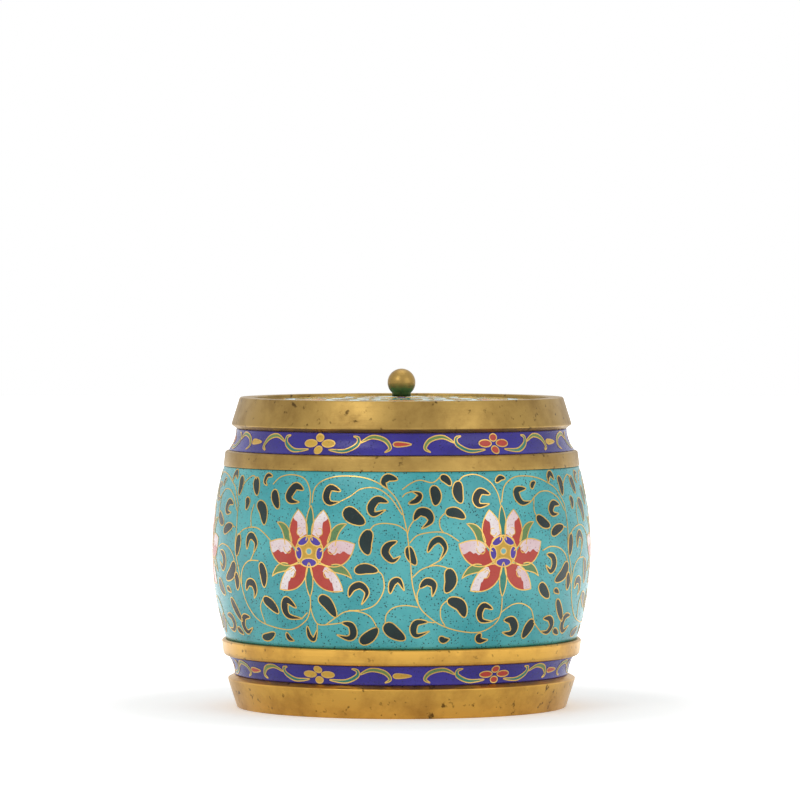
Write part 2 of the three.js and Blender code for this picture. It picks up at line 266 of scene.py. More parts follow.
def wear_group():
    """Rubbed and tarnished patches on gilding, with fine scratches round the axis."""
    tree, graph, source, coords = effect_group(
        "GiltWear", {"Amount": 0.5, "Relief": 0.2},
        {"Wear": "NodeSocketFloat", "Grime": "NodeSocketFloat", "Normal": "NodeSocketVector"})
    patch = graph.node("ShaderNodeTexNoise", {"Vector": coords, "Scale": PATCH_SCALE, "Detail": 8.0,
                                              "Roughness": 0.65})
    wear = graph.math("MULTIPLY", graph.ramp(patch.outputs[0], 0.44, 0.80), source.outputs["Amount"])
    specks = {"Vector": coords, "Scale": GRIME_SCALE, "Detail": 3.0}
    spots = graph.node("ShaderNodeTexNoise", specks).outputs[0]
    grime = graph.math("MULTIPLY", graph.ramp(spots, 0.63, 0.72), source.outputs["Amount"])
    stretched = graph.node("ShaderNodeMapping", {"Vector": coords, "Scale": SCRATCH_STRETCH}).outputs[0]
    scratch = graph.node("ShaderNodeTexNoise", {"Vector": stretched, "Scale": 1.0, "Detail": 2.0}).outputs[0]
    height = graph.math("ADD", graph.math("MULTIPLY", scratch, 0.5), graph.math("MULTIPLY", wear, 0.6))
    bump = graph.node("ShaderNodeBump", {"Height": height, "Strength": source.outputs["Relief"],
                                         "Distance": WEAR_RELIEF})
    graph.node("NodeGroupOutput", {"Wear": wear, "Grime": grime, "Normal": bump.outputs[0]})
    return tree


PITS = pit_group()
WEAR = wear_group()


def start_material(name):
    material = bpy.data.materials.new(name)
    material.use_nodes = True
    tree = material.node_tree
    return material, Graph(tree), tree.nodes["Principled BSDF"]


def enamel(name, colour, second, roughness=0.24, density=0.75, depth=0.35, pit=(16, 34, 36)):
    material, graph, surface = start_material(name)
    effect = graph.node("ShaderNodeGroup", node_tree=PITS)
    effect.inputs["Density"].default_value = density
    effect.inputs["Depth"].default_value = depth
    tone = graph.mix(effect.outputs["Cloud"], linear(*colour), linear(*second))
    tone = graph.mix(effect.outputs["Pits"], tone, linear(*pit))
    graph.tree.links.new(tone, surface.inputs["Base Color"])
    graph.tree.links.new(effect.outputs["Normal"], surface.inputs["Normal"])
    surface.inputs["Roughness"].default_value = roughness
    surface.inputs["Specular IOR Level"].default_value = ENAMEL_SPECULAR
    return material


def gilding(name, bright, tarnish, roughness=0.3, amount=0.8, relief=0.25):
    material, graph, surface = start_material(name)
    effect = graph.node("ShaderNodeGroup", node_tree=WEAR)
    effect.inputs["Amount"].default_value = amount
    effect.inputs["Relief"].default_value = relief
    tone = graph.mix(effect.outputs["Wear"], linear(*bright), linear(*tarnish))
    tone = graph.mix(effect.outputs["Grime"], tone, linear(*GRIME_COLOUR))
    rough = graph.ramp(effect.outputs["Wear"], 0.0, 1.0, roughness, roughness + 0.25)
    graph.tree.links.new(tone, surface.inputs["Base Color"])
    graph.tree.links.new(rough, surface.inputs["Roughness"])
    graph.tree.links.new(effect.outputs["Normal"], surface.inputs["Normal"])
    surface.inputs["Metallic"].default_value = 1.0
    return material


LOOKS = {
    "turquoise": enamel("turquoise_enamel", (60, 162, 168), (92, 188, 190), density=1.0),
    "lid_turquoise": enamel("lid_enamel", (60, 162, 168), (92, 188, 190), roughness=0.1, density=0.8),
    "cobalt": enamel("cobalt_enamel", (44, 32, 130), (58, 48, 156), density=0.6, pit=(26, 24, 50)),
    "red": enamel("red_enamel", (186, 54, 42), (196, 78, 64), density=0.15),
    "white": enamel("white_enamel", (252, 247, 245), (236, 202, 206), density=0.5, pit=(170, 84, 92)),
    "sage": enamel("sage_enamel", (122, 150, 80), (98, 138, 90), density=0.4),
    "teal": enamel("teal_enamel", (34, 122, 112), (58, 142, 126), density=0.4),
    "leaf": enamel("leaf_enamel", (6, 20, 20), (16, 50, 50), density=0.2),
    "yellow": enamel("yellow_enamel", (218, 176, 70), (204, 158, 60), density=0.3),
    "purple": enamel("purple_enamel", (76, 56, 160), (92, 72, 172), density=0.2),
    "pale": enamel("pale_enamel", (150, 196, 190), (120, 186, 186), density=0.2),
    "gilt": gilding("worn_gilding", (204, 158, 74), (136, 92, 42)),
    "aged": gilding("aged_gilding", (164, 134, 74), (104, 76, 38), roughness=0.36),
    "wire": gilding("gilt_wire", (214, 176, 98), (150, 112, 62), roughness=0.3, amount=0.5),
    "copper": gilding("copper_sheet", (196, 116, 74), (110, 64, 42), roughness=0.42, amount=0.6),
}


def dress(piece, look, body):
    piece.data.materials.clear()
    piece.data.materials.append(LOOKS[look])
    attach(piece, body)
    return piece


# The turned pieces

def foot_profile():
    low, high = FOOT
    widest = node_radius("foot_ring")
    sole = LOWER_WAIST - 0.7
    bore = sole - 2.5
    inner = LOWER_WAIST - 0.9
    flange_low = node_heights("base_plate")[1] + 0.1
    flange_high = node_heights("body_shell")[0] - 0.1
    return soften([
        (bore, low), (sole, low), (widest, high - 1.2), (LOWER_WAIST + 0.1, high), (inner, high),
        (inner, flange_high), (bore - 2.3, flange_high), (bore - 2.3, flange_low), (bore, flange_low)])


def lower_ring_profile():
    low, high = LOWER_RING
    widest = node_radius("lower_ring")
    inner = lower_band_at(LOWER_BAND[1]) - 0.7
    return soften([
        (inner, low), (widest - 2.0, low), (widest - 1.0, low + 0.25), (widest - 0.5, low + 1.0),
        (widest, high - 0.5), (widest - 0.5, high), (belly_at(BELLY[0]) - 0.9, high)])


def shoulder_profile():
    low, high = SHOULDER
    widest = node_radius("shoulder_ring")
    return soften([
        (belly_at(BELLY[1]) - 0.9, low), (widest, low), (widest - 0.55, high - 0.5),
        (widest - 1.3, high), (neck_at(NECK_BAND[0]) - 0.6, high)])


def rim_profile():
    low, high = RIM
    widest = node_radius("mouth_rim")
    top = NECK_WAIST - 1.05
    seat = node_radius("lid_edge_ring") + 0.3
    ledge = LID_EDGE[0] - 0.1
    lip = node_radius("lid_flange") + 0.3
    shell_top = node_heights("body_shell")[1]
    return soften([
        (NECK_WAIST - 0.9, low), (NECK_WAIST, low), (widest, low + 1.3), (top, high), (seat, high),
        (seat, ledge), (lip, ledge), (lip, ledge - 1.5), (NECK_WAIST - 2.45, ledge - 3.7),
        (NECK_WAIST - 0.9, shell_top + 0.1)])


def sleeve(surface, span, steps, thickness):
    outside = climb(surface, span, steps)
    inside = climb(surface, span, steps, thickness)
    return outside + inside[::-1]


LID_RADIUS = node_radius("lid_enamel")
LID_RISE = 1.4
PIN_HOLE = 1.6


def dome_at(radius):
    return LID_TOP - LID_RISE * (radius / LID_RADIUS) ** 2


def lid_profile():
    steps = 14
    radii = [PIN_HOLE + (LID_RADIUS - PIN_HOLE) * i / steps for i in range(steps + 1)]
    return [(r, dome_at(r) - 0.8) for r in radii] + [(r, dome_at(r)) for r in radii[::-1]]


def lid_edge_profile():
    outer = node_radius("lid_edge_ring")
    low, high = LID_EDGE
    return soften([(outer - 1.4, low), (outer, low), (outer, high), (outer - 1.4, high)], 0.3)


def knob_profile():
    """The knob from its collar up over the ball. The collar's underside is closed to the pin."""
    low, high = KNOB
    ball, collar = node_radius("knob"), 3.1
    centre = high - ball
    start = -math.acos(collar / ball)
    steps = 22
    tip = 0.02
    arc = []
    for i in range(steps + 1):
        a = start + (math.pi / 2 - start) * i / steps
        arc.append((max(tip, ball * math.cos(a)), centre + ball * math.sin(a)))
    return [(PIN_HOLE, low), (collar, low)] + arc + [(tip, low + 4.6), (PIN_HOLE, low + 4.6)]


TURNED = {
    "foot": (foot_profile(), "gilt", "jar", ["foot_ring"]),
    "lower_band": (sleeve(lower_band_at, LOWER_BAND, 16, 0.9), "cobalt", "jar", ["lower_band_enamel"]),
    "lower_ring_gilt": (lower_ring_profile(), "gilt", "jar", ["lower_ring"]),
    "belly": (sleeve(belly_at, BELLY, 60, 1.1), "turquoise", "jar",
              ["body_enamel"] + [f"lotus_bloom_{i}" for i in range(1, 7)]),
    "shoulder": (shoulder_profile(), "aged", "jar", ["shoulder_ring"]),
    "neck_band": (sleeve(neck_at, NECK_BAND, 16, 0.9), "cobalt", "jar", ["neck_band_enamel"]),
    "rim": (rim_profile(), "aged", "jar", ["mouth_rim"]),
    "lid_field": (lid_profile(), "lid_turquoise", "lid", ["lid_enamel"]),
    "lid_edge": (lid_edge_profile(), "aged", "lid", ["lid_edge_ring"]),
    "knob_ball": (knob_profile(), "aged", "lid", ["knob"]),
}
for piece_name, (outline, look, body, nodes) in TURNED.items():
    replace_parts(dress(revolve(piece_name, outline), look, body), *nodes)

CARRIED = {"base_plate": "gilt", "floor_plate": "aged", "body_shell": "aged", "lid_plate": "copper",
           "lid_flange": "gilt", "knob_pin": "gilt", "knob_washer": "gilt"}
for node_name, look in CARRIED.items():
    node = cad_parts[node_name]
    node.data.materials.clear()
    node.data.materials.append(LOOKS[look])


# Flat drawing of the cells and wires: x along the arc, y up, z out of the surface

class Drawing:
    """Collects the solids of each colour."""

    def __init__(self):
        self.parts = {}

    def part(self, look):
        return self.parts.setdefault(look, ([], []))

    def grid(self, look, rows, proud=CELL_PROUD):
        """A thin closed slab over a grid of points."""
        vertices, faces = self.part(look)
        base = len(vertices)
        tall, wide = len(rows), len(rows[0])
        layer = tall * wide
        for height in (proud, -CELL_DEPTH):
            vertices += [(x, y, height) for row in rows for x, y in row]
        for i in range(tall - 1):
            for k in range(wide - 1):
                a = base + i * wide + k
                quad = (a, a + 1, a + wide + 1, a + wide)
                faces.append(quad)
                faces.append(tuple(v + layer for v in reversed(quad)))
        edge = [(0, k) for k in range(wide)] + [(i, wide - 1) for i in range(1, tall)]
        edge += [(tall - 1, k) for k in range(wide - 2, -1, -1)] + [(i, 0) for i in range(tall - 2, 0, -1)]
        loop = [base + i * wide + k for i, k in edge]
        for a, b in zip(loop, loop[1:] + loop[:1]):
            faces.append((b, a, a + layer, b + layer))

    def wire(self, points, closed=False, width=WIRE_WIDTH):
        """A strip of wire on edge along a line."""
        vertices, faces = self.part("wire")
        base, count = len(vertices), len(points)
        for i, (x, y) in enumerate(points):
            before = points[i - 1] if closed or i else points[0]
            after = points[(i + 1) % count] if closed or i < count - 1 else points[i]
            dx, dy = after[0] - before[0], after[1] - before[1]
            length = math.hypot(dx, dy) or 1.0
            ox, oy = -dy / length * width / 2, dx / length * width / 2
            vertices += [(x + ox, y + oy, WIRE_PROUD), (x - ox, y - oy, WIRE_PROUD),
                         (x - ox, y - oy, -CELL_DEPTH), (x + ox, y + oy, -CELL_DEPTH)]
        for i in range(count if closed else count - 1):
            a, b = base + 4 * i, base + 4 * ((i + 1) % count)
            for k in range(4):
                n = (k + 1) % 4
                faces.append((a + k, a + n, b + n, b + k))
        if not closed:
            last = base + 4 * (count - 1)
            faces.append((base + 3, base + 2, base + 1, base))
            faces.append((last, last + 1, last + 2, last + 3))


def spline(points, steps=7):
    """A smooth line through given points."""
    ends = [points[0]] + list(points) + [points[-1]]
    line = []
    for p0, p1, p2, p3 in zip(ends, ends[1:], ends[2:], ends[3:]):
        for i in range(steps):
            t = i / steps
            line.append(tuple(
                0.5 * (2 * b + (c - a) * t + (2 * a - 5 * b + 4 * c - d) * t * t
                       + (3 * b - a - 3 * c + d) * t**3)
                for a, b, c, d in zip(p0, p1, p2, p3)))
    return line + [tuple(points[-1])]


def bezier(p0, p1, p2, p3, steps=14):
    line = []
    for i in range(steps + 1):
        t = i / steps
        s = 1 - t
        line.append(tuple(
            s**3 * a + 3 * s * s * t * b + 3 * s * t * t * c + t**3 * d
            for a, b, c, d in zip(p0, p1, p2, p3)))
    return line


def between(left, right, cross):
    return [[(lx + (rx - lx) * k / cross, ly + (ry - ly) * k / cross) for k in range(cross + 1)]
            for (lx, ly), (rx, ry) in zip(left, right)]


def leaf(drawing, look, spine, half_width, fullness=0.75, lean=0.85, outlined=True, cross=4):
    """A leaf or comma along a spine, widest a little before the middle."""
    line = spline(spine)
    count = len(line)
    left, right = [], []
    for i, (x, y) in enumerate(line):
        t = min(max(i / (count - 1), 0.0), 1.0)
        ahead, behind = line[min(i + 1, count - 1)], line[max(i - 1, 0)]
        dx, dy = ahead[0] - behind[0], ahead[1] - behind[1]
        length = math.hypot(dx, dy) or 1.0
        wide = half_width * max(0.04, math.sin(math.pi * t**lean)) ** fullness
        left.append((x - dy / length * wide, y + dx / length * wide))
        right.append((x + dy / length * wide, y - dx / length * wide))
    drawing.grid(look, between(left, right, cross))
    if outlined:
        drawing.wire(left + right[::-1], closed=True)


def ellipse(drawing, look, centre, half_x, half_y, turn=0.0, proud=CELL_PROUD, wire=True):
    """A rounded cell, filled in rings from its centre."""
    rings, spokes = 3, 20
    rows, c, s = [], math.cos(turn), math.sin(turn)
    for i in range(rings + 1):
        share = max(i / rings, 0.02)
        row = []
        for k in range(spokes + 1):
            a = 2 * math.pi * k / spokes
            x, y = half_x * share * math.cos(a), half_y * share * math.sin(a)
            row.append((centre[0] + x * c - y * s, centre[1] + x * s + y * c))
        rows.append(row)
    drawing.grid(look, rows, proud)
    if wire:
        drawing.wire(rows[-1][:-1], closed=True)


# Lotus: root, two bends to the tip, two bends back and the end, as in the solid flower
LOTUS = {
    "upper_petal": ("red", [(4, 0), (8.5, 2.5), (9, 9), (4.7, 13.3), (2, 11), (-0.2, 8.5), (1.2, 3.5)]),
    "side_petal": ("red", [(3.2, -3), (9, -6.8), (14.5, -4.5), (15.8, 2.6), (12, 4), (8, 4.6), (6.3, 1.2)]),
    "lower_petal": ("red", [(0.5, -5), (1, -10.5), (5.5, -14), (11.7, -12.5), (11, -8.5), (8, -4), (3, -4)]),
    "upper_leaf": ("sage", [(9.2, 1.9), (9.8, 5), (10.5, 7), (13, 9), (9.5, 9.5), (7.5, 7.5), (6.5, 3)]),
    "lower_leaf": ("sage", [(6.5, -5.6), (9.5, -7.2), (12.5, -6.5), (14.8, -8.6), (13.5, -5), (11, -3.2),
                            (8, -4.2)]),
}
# White frills on the petals, each between an inner ragged edge and the petal's own edge
FRILLS = [
    ([(3.4, 4.4), (6.4, 6.0), (2.6, 8.6), (6.5, 10.7)], [(0.9, 5.6), (-0.1, 8.4), (2.0, 11.0), (4.7, 13.2)]),
    ([(7.0, 0.2), (10.2, -2.6), (10.4, 1.6), (14.6, -0.8)], [(6.4, 2.0), (8.0, 4.4), (12, 3.9), (15.7, 2.6)]),
    ([(4.9, -6.4), (7.0, -9.8), (8.0, -8.2), (8.6, -12.6)],
     [(5.6, -5.0), (8.6, -4.5), (10.9, -8.5), (11.6, -12.4)]),
]
RUFFLE = 0.3
RUFFLE_WAVES = 3
FRILL_CURLS = [[(3.2, 7.4), (4.4, 7.2), (4.6, 5.6), (3.2, 5.0), (2.4, 6.0)],
               [(9.8, 1.2), (9.2, -0.2), (7.6, -0.7), (6.8, 0.4), (7.6, 1.4)],
               [(7.2, -8.6), (5.8, -8.3), (5.2, -7.0), (5.9, -6.0), (6.9, -6.8)]]
LOBES = [(2.25, 3.3, 2.1, 1.35, -0.5), (-2.25, 3.3, 2.1, 1.35, 0.5), (3.75, -0.6, 1.15, 2.05, -0.1),
         (-3.75, -0.6, 1.15, 2.05, 0.1), (0.0, -3.6, 2.7, 1.4, 0.0)]


def ruffled(line):
    last = len(line) - 1
    return [(x, y + RUFFLE * math.sin(2 * math.pi * RUFFLE_WAVES * i / last))
            for i, (x, y) in enumerate(line)]


def lotus(drawing, turn):
    middle = math.radians(turn) * ARC

    def place(points, side=1):
        return [(middle + side * x * BLOOM_STRETCH, BLOOM_HEIGHT + y) for x, y in points]

    for way in (1, -1):
        spine = place([(0, way * 3.6), (0, way * 9.0), (0, way * 14.6)])
        leaf(drawing, "teal", spine, 1.3, fullness=1.0, lean=1.0)
    for side in (1, -1):
        for look, (root, a, b, tip, c, d, end) in LOTUS.values():
            left = place(bezier(root, a, b, tip), side)
            right = place(bezier(end, d, c, tip), side)
            drawing.grid(look, between(left, right, 7))
            drawing.wire(left + right[::-1][1:])
        for inner, outer in FRILLS:
            left = place(ruffled(bezier(*inner)), side)
            right = place(bezier(*outer), side)
            drawing.grid("white", between(left, right, 5), UPPER_CELL_PROUD)
        for curl in FRILL_CURLS:
            drawing.wire(place(spline(curl), side), width=WIRE_WIDTH * 0.7)
    heart = place([(0, 0)])[0]
    ellipse(drawing, "yellow", heart, 5.1 * BLOOM_STRETCH, 5.1, proud=UPPER_CELL_PROUD)
    for x, y, wide, high, tilt in LOBES:
        ellipse(drawing, "purple", place([(x, y)])[0], wide, high, tilt, proud=UPPER_CELL_PROUD + 0.02)
    ellipse(drawing, "pale", heart, 1.05, 1.05, proud=UPPER_CELL_PROUD + 0.02)


# Leaves of the scroll, as a half width and a spine. Two sectors, which repeat round the belly.
BEANS = [
    (1.6, [(-55.0, 77.0), (-54.0, 74.5), (-52.7, 71.3)]),
    (1.6, [(-45.0, 73.4), (-44.0, 70.5), (-42.2, 67.3)]),
    (1.2, [(-58.6, 70.0), (-57.2, 69.0), (-57.8, 66.5)]),
    (1.9, [(-52.0, 69.0), (-49.0, 66.8), (-47.7, 62.0)]),
    (1.5, [(-60.4, 58.6), (-61.0, 55.0), (-61.8, 51.3)]),
    (1.6, [(-49.0, 49.8), (-47.8, 46.0), (-47.8, 41.8)]),
    (1.4, [(-62.8, 46.0), (-62.0, 43.0), (-62.4, 40.2)]),
    (1.7, [(-48.8, 38.2), (-45.5, 36.4), (-42.6, 33.6)]),
    (1.3, [(-52.4, 25.2), (-49.0, 25.6), (-45.6, 27.0)]),
    (1.9, [(-26.8, 39.2), (-24.0, 37.6), (-21.2, 33.0)]),
    (2.4, [(-18.0, 68.0), (-15.5, 65.5), (-11.4, 63.2)]), (2.1, [(-9.8, 61.2), (-11.2, 57.2), (-10.2, 53.2)]),
    (1.7, [(-14.6, 47.8), (-11.2, 48.8), (-7.2, 48.0)]), (2.2, [(-5.2, 31.2), (-3.0, 28.6), (1.2, 26.0)]),
    (1.9, [(-13.8, 24.8), (-10.5, 26.8), (-7.6, 29.6)]), (1.8, [(10.0, 75.2), (11.0, 72.0), (10.6, 68.9)]),
    (1.8, [(18.8, 76.6), (18.2, 73.0), (19.2, 69.6)]), (1.3, [(12.6, 78.0), (14.6, 77.2), (16.0, 75.2)]),
    (1.7, [(13.8, 66.6), (17.2, 66.6), (20.2, 64.8)]), (1.5, [(2.0, 56.0), (2.8, 53.0), (4.4, 50.0)]),
    (2.0, [(14.4, 48.8), (15.4, 44.8), (13.8, 41.0)]), (1.9, [(14.4, 38.6), (18.6, 37.0), (20.4, 33.0)]),
    (1.9, [(47.2, 31.2), (45.2, 28.6), (43.4, 25.4)]), (1.7, [(47.0, 64.8), (50.0, 62.6), (53.2, 61.4)]),
    (1.6, [(53.6, 58.6), (56.8, 60.2), (60.6, 61.0)]), (2.0, [(62.4, 49.4), (60.4, 45.8), (55.6, 43.4)]),
    (1.8, [(48.2, 43.0), (50.4, 40.6), (53.2, 38.2)]), (1.5, [(57.8, 37.4), (60.4, 33.6), (63.4, 30.0)]),
    (0.9, [(32.0, 76.0), (33.8, 77.4), (35.8, 77.2)]), (0.9, [(46.4, 73.6), (47.0, 75.0), (48.6, 75.8)]),
    (1.5, [(61.6, 77.2), (62.6, 74.6), (62.2, 71.0)]), (1.0, [(58.6, 27.4), (60.2, 26.8), (62.4, 25.8)]),
]
HOOKS = [
    (0.8, [(-46.8, 77.6), (-49.2, 77.8), (-50.0, 75.8), (-48.6, 74.6)]),
    (1.5, [(-33.0, 73.6), (-36.2, 74.6), (-38.4, 71.8), (-37.4, 70.0), (-34.2, 69.6)]),
    (1.2, [(-55.8, 53.8), (-55.2, 57.2), (-53.4, 58.2), (-51.2, 56.0), (-52.2, 52.8)]),
    (1.3, [(-57.0, 40.4), (-55.6, 42.8), (-53.2, 42.8), (-52.2, 40.4), (-53.2, 38.0)]),
    (1.4, [(-35.2, 35.6), (-38.6, 38.0), (-39.8, 35.4), (-38.4, 32.8), (-33.4, 32.2)]),
    (1.2, [(-57.0, 31.6), (-60.6, 31.4), (-62.0, 28.6), (-60.0, 26.6), (-56.6, 28.2)]),
    (0.9, [(-40.4, 27.4), (-39.8, 25.6), (-37.8, 24.8)]),
    (0.9, [(-31.8, 29.8), (-31.4, 26.6), (-29.8, 25.6), (-28.2, 28.8)]),
    (1.3, [(-19.8, 73.4), (-23.4, 74.4), (-24.6, 71.6), (-23.2, 69.6), (-20.0, 70.0)]),
    (1.4, [(-4.2, 70.0), (-7.6, 70.8), (-9.6, 68.4), (-8.6, 66.2), (-5.0, 67.6)]),
    (1.3, [(-1.2, 77.2), (-4.4, 77.8), (-5.8, 76.2), (-4.6, 74.4)]),
    (1.3, [(-1.4, 57.6), (-4.2, 56.2), (-5.0, 53.8), (-2.8, 51.4), (-0.4, 52.8)]),
    (1.2, [(-16.6, 39.6), (-15.4, 42.4), (-12.8, 43.4), (-10.8, 41.0), (-12.6, 37.2)]),
    (1.1, [(-3.6, 40.8), (-2.8, 44.2), (-0.8, 45.0), (0.8, 41.8)]),
    (1.3, [(-19.4, 31.2), (-16.4, 30.4), (-15.8, 27.6), (-17.6, 26.2), (-21.4, 27.2)]),
    (1.0, [(2.2, 69.6), (4.8, 70.6), (5.8, 72.4), (3.4, 73.4)]),
    (1.3, [(29.4, 72.2), (26.0, 73.2), (24.2, 70.8), (25.2, 68.8), (28.8, 69.2)]),
    (1.5, [(3.8, 64.2), (5.6, 66.8), (8.2, 66.4), (9.0, 64.0), (6.2, 61.6)]),
    (1.1, [(8.0, 54.0), (9.6, 57.0), (11.8, 58.0), (13.6, 55.2), (11.8, 51.4)]),
    (1.3, [(5.6, 42.6), (7.8, 44.6), (10.0, 43.4), (9.6, 39.8)]),
    (1.2, [(30.0, 35.4), (26.8, 36.6), (25.4, 34.4), (26.4, 31.8), (30.2, 31.4)]),
    (1.2, [(8.4, 31.6), (4.8, 31.4), (3.8, 29.0), (5.0, 27.2), (9.0, 28.6)]),
    (1.1, [(12.4, 26.8), (13.8, 25.6), (15.8, 26.0)]),
    (1.2, [(26.6, 27.6), (25.8, 26.2), (26.8, 25.2), (29.4, 25.4)]),
    (1.6, [(34.6, 31.6), (37.6, 31.4), (39.2, 29.0), (38.0, 27.2), (34.6, 27.6)]),
    (1.3, [(43.8, 73.8), (40.0, 73.4), (39.8, 71.0), (41.8, 69.2), (45.4, 69.6)]),
    (1.0, [(58.8, 76.2), (57.4, 78.2), (55.8, 77.2), (55.4, 75.2)]),
    (1.3, [(59.4, 68.0), (56.2, 68.6), (54.4, 66.8), (55.4, 65.2), (58.4, 65.2)]),
    (1.3, [(51.0, 52.4), (54.0, 51.4), (54.8, 48.8), (53.0, 46.8), (50.6, 48.8)]),
    (0.9, [(55.4, 40.4), (57.0, 40.2), (58.6, 39.2)]),
    (1.2, [(51.8, 31.4), (55.2, 31.2), (57.0, 29.0), (55.2, 26.8), (51.6, 27.2)]),
]
# Wire stems of the same two sectors
STEMS = [
    [(-62, 74), (-60, 76), (-57, 77.5), (-54.5, 76.5)],
    [(-46, 75), (-43, 77.5), (-38, 78.3), (-33, 77), (-30.5, 73), (-30.2, 68.6)],
    [(-29.4, 69.5), (-29, 74), (-26, 76.8), (-20, 78.2), (-12, 77.7), (-6, 75.2), (-2, 71.6), (0.4, 67)],
    [(-20, 70), (-16.5, 71.8), (-13, 74.2), (-8, 74.4), (-3.5, 71.4), (0.2, 66)],
    [(-53.6, 68.4), (-54.6, 65), (-54, 61)],
    [(-61, 58.2), (-57.5, 60.3), (-52, 61), (-48, 59.5), (-44.6, 57)],
    [(-63, 68), (-62.4, 60), (-62.8, 54), (-60.6, 47), (-59.6, 42), (-57.5, 36), (-53, 31.2), (-46, 29),
     (-38, 28.5), (-32, 31.6), (-30, 35.6), (-29.7, 39.5)],
    [(-50, 50.3), (-55, 50), (-58.5, 47), (-59.6, 42)],
    [(-54, 50), (-52.2, 52.8)],
    [(-48.8, 38.2), (-50.6, 35), (-49.4, 30)],
    [(-33.4, 32.2), (-31.2, 34.2)],
    [(-29.9, 36), (-29, 32.4), (-27.2, 30.4), (-22, 30.8), (-19.4, 31.2)],
    [(-25, 30.4), (-21.4, 32.8), (-18, 34.8), (-14, 35), (-10, 33.4), (-7.8, 29.6)],
    [(-17, 35.2), (-12, 35.6), (-8, 37.5), (-5.5, 42), (-5.8, 46.4), (-7.2, 48)],
    [(-9.8, 61.2), (-8.2, 62.8), (-5, 63.3), (-1, 62.6), (1.8, 60.6)],
    [(-5.2, 31.2), (-4.8, 34), (-2.5, 36.3), (1.4, 37), (5.2, 36.4)],
    [(-28.2, 28.8), (-28, 30.6)],
    [(0.2, 74), (3, 76), (6, 77), (10, 76.2), (12.6, 78)],
    [(3.4, 73.4), (1.4, 72.8), (0.2, 71.6)],
    [(18.8, 76.6), (20.8, 78.2), (25, 78.6), (29.5, 76.5), (32, 73), (32.9, 68.8)],
    [(33.3, 69.6), (35, 74.6), (39, 77.3), (44, 77.8), (50, 77), (55, 75.2), (59, 73), (62.8, 68)],
    [(0.3, 67), (1.6, 61), (2.2, 56), (2.8, 50), (3.5, 43), (5.6, 36.6), (9, 33), (13, 30.4), (19, 28.5),
     (26, 28), (31.2, 30.4), (33.1, 34), (33.1, 39)],
    [(2.5, 57), (5, 59.5), (10, 60.5), (14, 60), (18, 57.4)],
    [(3.8, 64.2), (2.4, 62), (1.8, 59.6)],
    [(13.8, 66.6), (12, 64.6), (12, 62), (13, 60.4)],
    [(3.4, 46), (6.2, 48.6), (10, 49.8), (13, 49.4), (14.4, 48.8)],
    [(8.6, 49.6), (11.8, 51.4)],
    [(5.2, 37.6), (4.8, 40.4), (5.6, 42.6)],
    [(14.4, 38.6), (12.5, 36.5), (12.5, 33), (14, 30.3)],
    [(8.4, 31.6), (10.6, 31.4)],
    [(33.2, 34.2), (37, 36.5), (41, 36.8), (45, 35), (46.5, 32.8), (47.2, 31.2)],
    [(30.2, 31.4), (32.4, 32.6)],
    [(47.2, 30.6), (49.6, 28.6), (51.6, 27.2)],
    [(45.4, 69.6), (47.4, 71.2), (50.6, 72.6), (55, 72.4), (59.4, 70), (62.2, 66)],
    [(47, 64.8), (46.2, 67), (46.8, 70.6)],
    [(49, 53.6), (53, 54.8), (58, 54), (61.4, 51.6), (62.4, 49.4)],
    [(60.6, 61), (62.2, 60.6)],
]


def belly_drawing():
    drawing = Drawing()
    for turn in BLOOM_TURNS:
        lotus(drawing, turn)
    for half_width, spine in BEANS:
        leaf(drawing, "leaf", spine, half_width, fullness=0.6)
    for half_width, spine in HOOKS:
        leaf(drawing, "leaf", spine, half_width, fullness=0.9, lean=0.8)
    for stem in STEMS:
        drawing.wire(spline(stem))
    return drawing


def band_drawing(span, looks, flip=1):
    """Flowers with small petals between scrolls and buds. Two flowers repeat round a band."""
    drawing = Drawing()
    middle = (span[0] + span[1]) / 2
    tall = (span[1] - span[0]) / 6.1
    for turn, look, bud in looks:
        u = math.radians(turn) * ARC
        for side in (1, -1):
            def at(points):
                return [(u + side * x, middle + flip * y * tall) for x, y in points]
            leaf(drawing, "teal", at([(4.0, -1.6), (10, -1.9), (14.2, -0.2), (14.6, 1.6), (12.8, 2.2)]), 0.62)
            leaf(drawing, "sage",
                 at([(15.4, 0.4), (19.5, 2.0), (24.0, 1.2), (26.0, -1.0), (24.2, -2.2)]), 0.62)
            ellipse(drawing, look, at([(3.5, 0.1)])[0], 2.5, 1.0 * tall)
        for way in (1, -1):
            ellipse(drawing, look, (u, middle + way * 1.7 * tall), 1.5, 1.05 * tall)
        leaf(drawing, bud, [(u + 27.0, middle), (u + 29.0, middle), (u + 33.4, middle)], 0.8)
    return drawing


def lid_drawing():
    """One sixth of a lotus scroll round the knob."""
    drawing = Drawing()
    for x, y, wide, high, tilt in ((0, 31.5, 4.2, 1.9, 0), (3.9, 34.6, 3.4, 1.6, 0.8),
                                   (-3.9, 34.6, 3.4, 1.6, -0.8),
                                   (0, 37.4, 1.7, 3.4, 0)):
        ellipse(drawing, "red", (x, y), wide, high, tilt)
    ellipse(drawing, "yellow", (0, 33.6), 2.0, 2.0, proud=UPPER_CELL_PROUD)
    for side in (1, -1):
        leaf(drawing, "leaf", [(side * 9, 26), (side * 12, 29), (side * 12.6, 33)], 1.6, fullness=0.6)
        leaf(drawing, "leaf", [(side * 12, 40), (side * 15, 38.5), (side * 17, 35)], 1.5, fullness=0.6)
        leaf(drawing, "leaf", [(side * 3, 20), (side * 5.4, 22), (side * 5, 25.4)], 1.4, fullness=0.6)
        drawing.wire(spline([(side * 0.4, 27), (side * 5, 28.4), (side * 9, 26), (side * 10.4, 20),
                             (side * 6, 14), (side * 1.4, 12)]))
    leaf(drawing, "purple", [(0, 9), (0, 13), (0, 18)], 1.9)
    drawing.wire(spline([(-4.6, 8), (0, 9.3), (4.6, 8)]))
    return drawing


